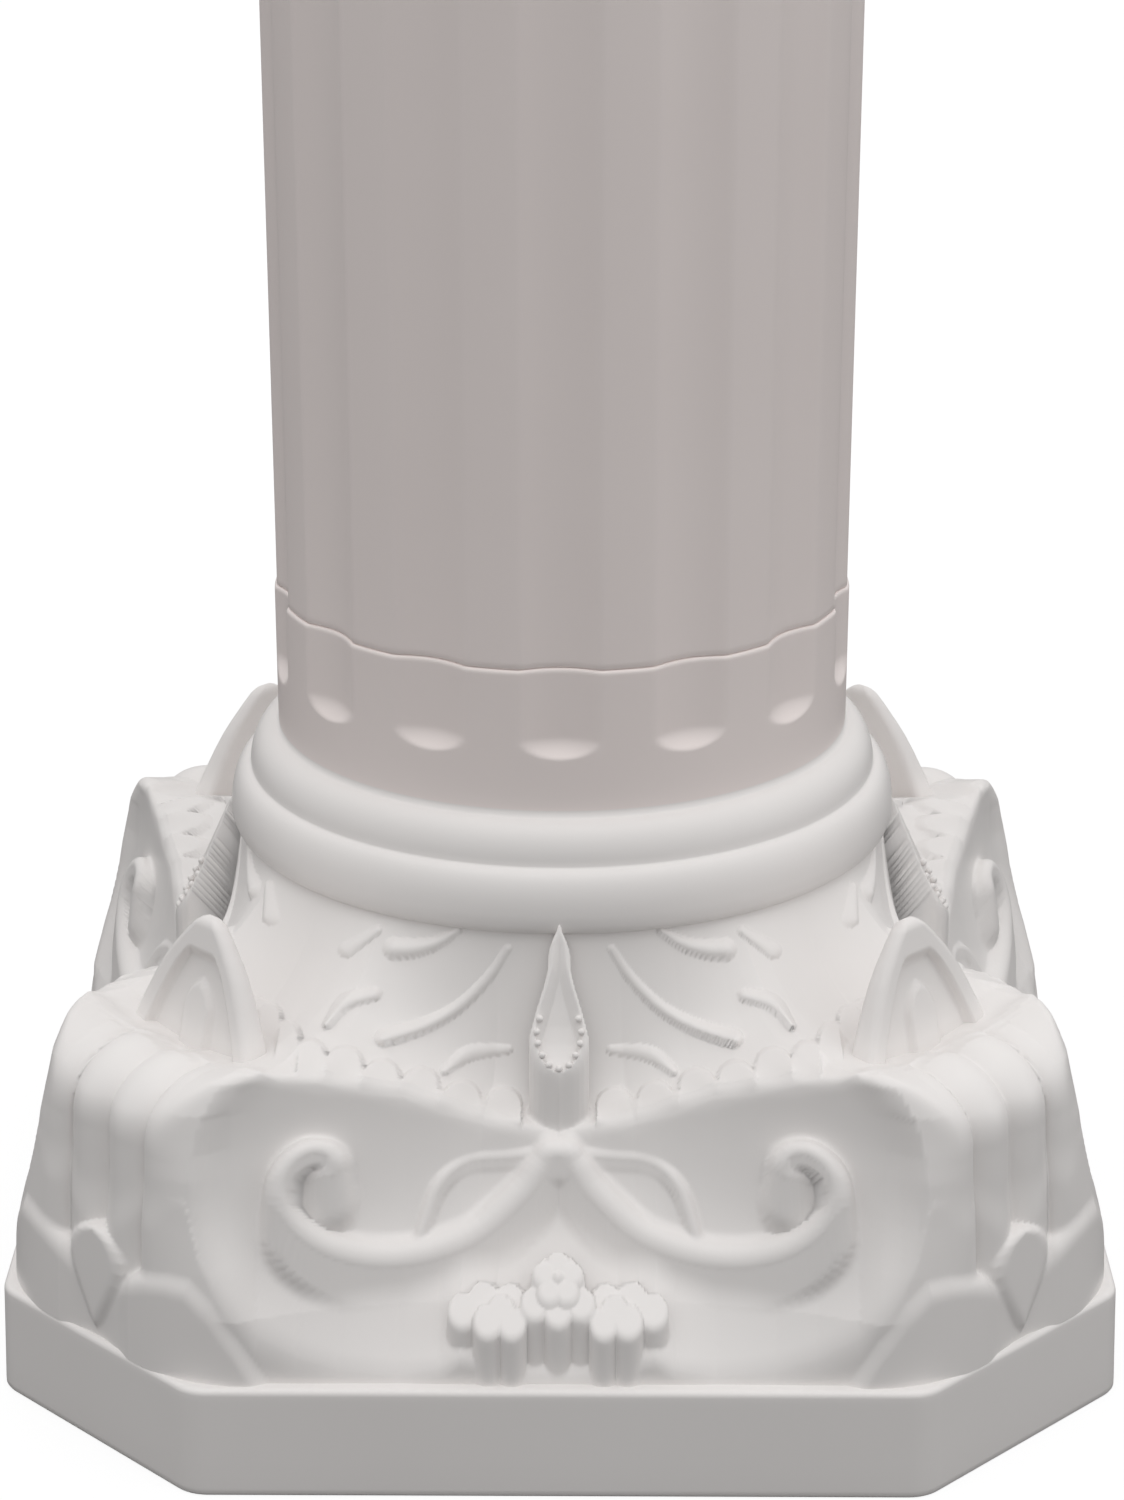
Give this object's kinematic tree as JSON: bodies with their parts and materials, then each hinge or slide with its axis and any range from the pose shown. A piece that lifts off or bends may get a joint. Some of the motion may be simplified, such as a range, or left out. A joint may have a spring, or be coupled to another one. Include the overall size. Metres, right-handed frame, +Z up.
{
  "type": "pedestal column stand",
  "caption": "Free-standing fluted column pedestal with an octagonal carved foot and matching capital; its flat top carries a planter or other display piece.",
  "frame": {"origin": "centre of the foot's underside, on the floor", "axes": "+Z up along the column, -Y and +Y, -X and +X square to the plinth's four long sides"},
  "size_m": [0.29, 0.29, 0.884],
  "materials": {
    "white_plastic": "satin white",
    "inner_plastic": "matt white",
    "screw_steel": "zinc plated"
  },
  "bodies": {
    "root": {"base_moulding": "white_plastic", "shaft_lower": "white_plastic", "shaft_sleeve": "inner_plastic", "shaft_upper": "white_plastic", "capital_moulding": "white_plastic", "top_plate": "white_plastic", "top_plate_screws": "screw_steel"}
  },
  "joints": []
}
